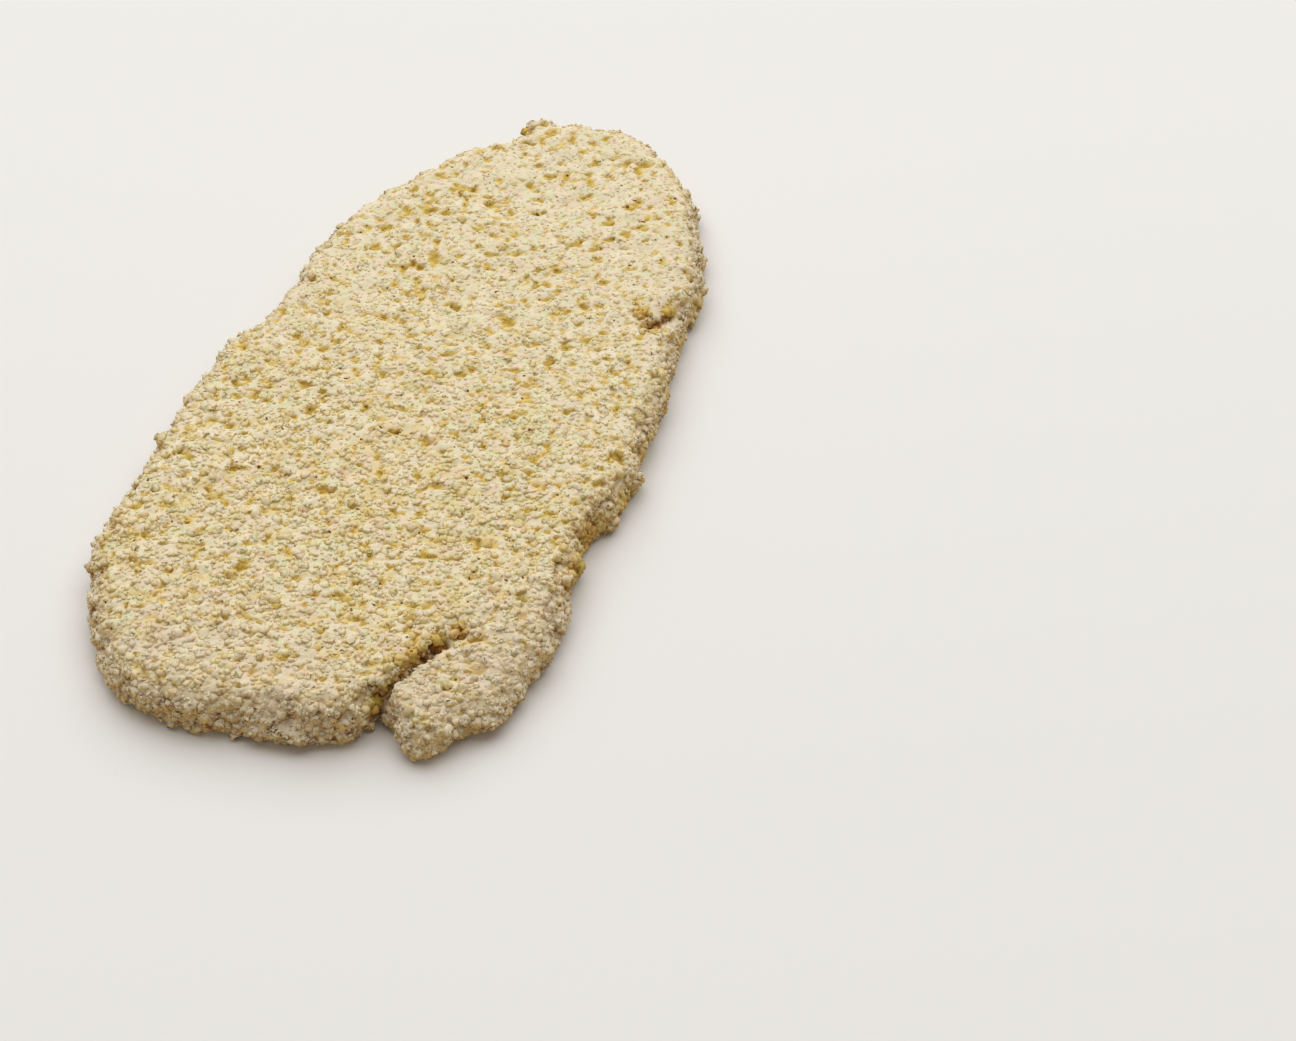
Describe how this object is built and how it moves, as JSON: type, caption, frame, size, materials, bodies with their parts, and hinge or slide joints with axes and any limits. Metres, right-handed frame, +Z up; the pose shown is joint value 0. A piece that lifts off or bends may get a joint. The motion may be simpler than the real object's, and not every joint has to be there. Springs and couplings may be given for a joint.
{
  "type": "raw breaded schnitzel",
  "caption": "Raw breaded schnitzel: a long, thin slice of meat under a pale, rough crumb coat, with a cleft that parts a flap at its wider end.",
  "frame": {"origin": "on the surface that the slice lies on, under the middle of its outline", "axes": "+Z up, +Y along the slice to its narrower far end, +X to the side of the flap and the nick"},
  "size_m": [0.0954, 0.189, 0.0128],
  "materials": {
    "crumb_coat": "dry, matte, rough crumb"
  },
  "bodies": {
    "root": {"schnitzel": "crumb_coat"}
  },
  "joints": []
}
